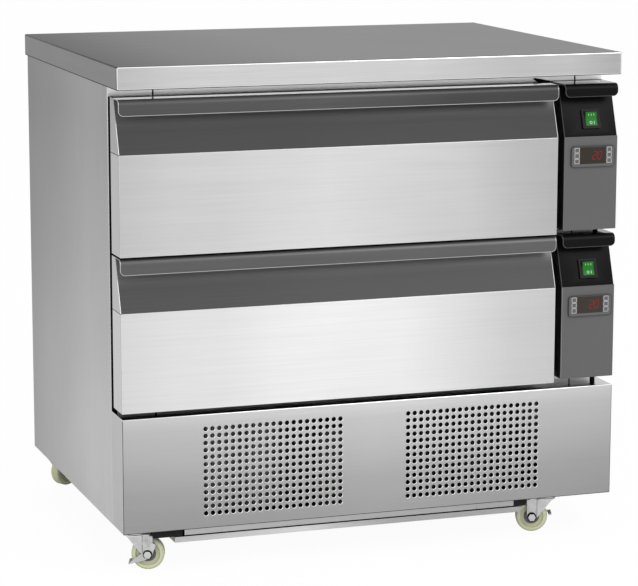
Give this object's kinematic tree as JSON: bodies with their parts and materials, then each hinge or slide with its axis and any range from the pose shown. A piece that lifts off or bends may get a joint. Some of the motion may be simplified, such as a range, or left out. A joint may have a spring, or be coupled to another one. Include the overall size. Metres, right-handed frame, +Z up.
{
  "type": "refrigerated counter",
  "caption": "Stainless refrigerated counter with a flat worktop, stacked full-width insulated drawers, black control boxes at the right, a perforated machine panel and castors.",
  "frame": {"origin": "on the floor, below the middle of the worktop", "axes": "+X to the right along the front, +Y to the back, +Z up; the drawers face -Y"},
  "size_m": [0.93, 0.7, 0.885],
  "materials": {
    "worktop_steel": "satin",
    "panel_steel": "satin",
    "bright_steel": "satin",
    "liner_steel": "satin",
    "galvanised": "matte",
    "grip_grey": "satin",
    "core_board": "matte",
    "foam": "matte",
    "gasket_rubber": "matte",
    "coil_metal": "satin",
    "black_coil": "matte",
    "black_paint": "satin",
    "motor_metal": "satin",
    "copper": "satin",
    "fan_plastic": "matte",
    "box_plastic": "matte",
    "inlet_plastic": "matte",
    "housing_black": "gloss",
    "face_grey": "satin",
    "bezel_grey": "satin",
    "window_dark": "gloss",
    "rocker_green": "gloss",
    "castor_zinc": "satin",
    "wheel_nylon": "satin"
  },
  "bodies": {
    "cabinet": {"worktop": "worktop_steel", "worktop_core": "core_board", "left_side_panel": "panel_steel", "right_side_panel": "panel_steel", "back_panel": "panel_steel", "base_plate": "galvanised", "face_frame": "panel_steel", "insulation": "foam", "upper_liner": "liner_steel", "lower_liner": "liner_steel", "air_baffles": "liner_steel", "evaporators": "coil_metal", "fixed_rails": "galvanised", "lower_panel": "panel_steel", "bottom_strip": "panel_steel", "base_tray": "panel_steel", "screws": "panel_steel", "compressors": "black_paint", "condensers": "black_coil", "fan_shrouds": "galvanised", "fan_motors": "motor_metal", "refrigerant_pipes": "copper", "electrical_box": "box_plastic", "mains_inlet": "inlet_plastic", "control_housings": "housing_black", "control_faces": "face_grey", "controller_bezels": "bezel_grey", "display_windows": "window_dark", "rocker_frames": "housing_black", "castor_plates": "castor_zinc"},
    "upper_drawer": {"upper_front_skin": "bright_steel", "upper_end_caps": "bright_steel", "upper_handle": "grip_grey", "upper_front_core": "foam", "upper_gasket": "gasket_rubber", "upper_drawer_box": "liner_steel"},
    "upper_slides": {"upper_mid_rails": "galvanised"},
    "lower_drawer": {"lower_front_skin": "bright_steel", "lower_end_caps": "bright_steel", "lower_handle": "grip_grey", "lower_front_core": "foam", "lower_gasket": "gasket_rubber", "lower_drawer_box": "liner_steel"},
    "lower_slides": {"lower_mid_rails": "galvanised"},
    "left_condenser_fan": {"left_condenser_fan": "fan_plastic"},
    "right_condenser_fan": {"right_condenser_fan": "fan_plastic"},
    "upper_evaporator_fan": {"upper_evaporator_fan": "fan_plastic"},
    "lower_evaporator_fan": {"lower_evaporator_fan": "fan_plastic"},
    "upper_rocker": {"upper_rocker": "rocker_green"},
    "lower_rocker": {"lower_rocker": "rocker_green"},
    "front_left_fork": {"front_left_fork": "castor_zinc"},
    "front_left_wheel": {"front_left_wheel": "wheel_nylon"},
    "front_right_fork": {"front_right_fork": "castor_zinc"},
    "front_right_wheel": {"front_right_wheel": "wheel_nylon"},
    "rear_left_fork": {"rear_left_fork": "castor_zinc"},
    "rear_left_wheel": {"rear_left_wheel": "wheel_nylon"},
    "rear_right_fork": {"rear_right_fork": "castor_zinc"},
    "rear_right_wheel": {"rear_right_wheel": "wheel_nylon"},
    "left_brake_pedal": {"left_brake_pedal": "castor_zinc"},
    "right_brake_pedal": {"right_brake_pedal": "castor_zinc"}
  },
  "joints": [
    {"name": "upper_drawer_slide", "type": "slide", "parent": "cabinet", "child": "upper_drawer", "axis": [0, -1, 0], "range_m": [0, 0.5]},
    {"name": "upper_mid_rail_slide", "type": "slide", "parent": "cabinet", "child": "upper_slides", "axis": [0, -1, 0], "range_m": [0, 0.25]},
    {"name": "lower_drawer_slide", "type": "slide", "parent": "cabinet", "child": "lower_drawer", "axis": [0, -1, 0], "range_m": [0, 0.5]},
    {"name": "lower_mid_rail_slide", "type": "slide", "parent": "cabinet", "child": "lower_slides", "axis": [0, -1, 0], "range_m": [0, 0.25]},
    {"name": "left_condenser_fan_spin", "type": "hinge", "parent": "cabinet", "child": "left_condenser_fan", "pos_m": [-0.188, -0.198, 0.167], "axis": [0, 1, 0], "continuous": true},
    {"name": "right_condenser_fan_spin", "type": "hinge", "parent": "cabinet", "child": "right_condenser_fan", "pos_m": [0.188, -0.198, 0.167], "axis": [0, 1, 0], "continuous": true},
    {"name": "upper_evaporator_fan_spin", "type": "hinge", "parent": "cabinet", "child": "upper_evaporator_fan", "pos_m": [0.3395, 0.207, 0.6945], "axis": [1, 0, 0], "continuous": true},
    {"name": "lower_evaporator_fan_spin", "type": "hinge", "parent": "cabinet", "child": "lower_evaporator_fan", "pos_m": [0.3395, 0.207, 0.4225], "axis": [1, 0, 0], "continuous": true},
    {"name": "upper_rocker_tilt", "type": "hinge", "parent": "cabinet", "child": "upper_rocker", "pos_m": [0.413, -0.33591, 0.76534], "axis": [1, 0, 0], "range_deg": [-16, 0]},
    {"name": "lower_rocker_tilt", "type": "hinge", "parent": "cabinet", "child": "lower_rocker", "pos_m": [0.413, -0.33591, 0.49334], "axis": [1, 0, 0], "range_deg": [-16, 0]},
    {"name": "front_left_swivel", "type": "hinge", "parent": "cabinet", "child": "front_left_fork", "pos_m": [-0.429, -0.3, 0.0625], "axis": [0, 0, 1], "continuous": true},
    {"name": "front_left_wheel_spin", "type": "hinge", "parent": "front_left_fork", "child": "front_left_wheel", "pos_m": [-0.40725, -0.30749, 0.029], "axis": [0.3256, 0.9455, 0], "continuous": true},
    {"name": "left_pedal_tilt", "type": "hinge", "parent": "front_left_fork", "child": "left_brake_pedal", "pos_m": [-0.40725, -0.30749, 0.029], "axis": [0.3256, 0.9455, 0], "range_deg": [0, 34]},
    {"name": "front_right_swivel", "type": "hinge", "parent": "cabinet", "child": "front_right_fork", "pos_m": [0.35, -0.3, 0.0625], "axis": [0, 0, 1], "continuous": true},
    {"name": "front_right_wheel_spin", "type": "hinge", "parent": "front_right_fork", "child": "front_right_wheel", "pos_m": [0.32825, -0.29251, 0.029], "axis": [-0.3256, -0.9455, 0], "continuous": true},
    {"name": "right_pedal_tilt", "type": "hinge", "parent": "front_right_fork", "child": "right_brake_pedal", "pos_m": [0.32825, -0.29251, 0.029], "axis": [-0.3256, -0.9455, 0], "range_deg": [-34, 0]},
    {"name": "rear_left_swivel", "type": "hinge", "parent": "cabinet", "child": "rear_left_fork", "pos_m": [-0.429, 0.3, 0.0625], "axis": [0, 0, 1], "continuous": true},
    {"name": "rear_left_wheel_spin", "type": "hinge", "parent": "rear_left_fork", "child": "rear_left_wheel", "pos_m": [-0.40908, 0.3115, 0.029], "axis": [-0.5, 0.866, 0], "continuous": true},
    {"name": "rear_right_swivel", "type": "hinge", "parent": "cabinet", "child": "rear_right_fork", "pos_m": [0.35, 0.3, 0.0625], "axis": [0, 0, 1], "continuous": true},
    {"name": "rear_right_wheel_spin", "type": "hinge", "parent": "rear_right_fork", "child": "rear_right_wheel", "pos_m": [0.33008, 0.3115, 0.029], "axis": [-0.5, -0.866, 0], "continuous": true}
  ],
  "couplings": [
    {"joint": "upper_mid_rail_slide", "follows": "upper_drawer_slide", "ratio": 0.5},
    {"joint": "lower_mid_rail_slide", "follows": "lower_drawer_slide", "ratio": 0.5}
  ]
}
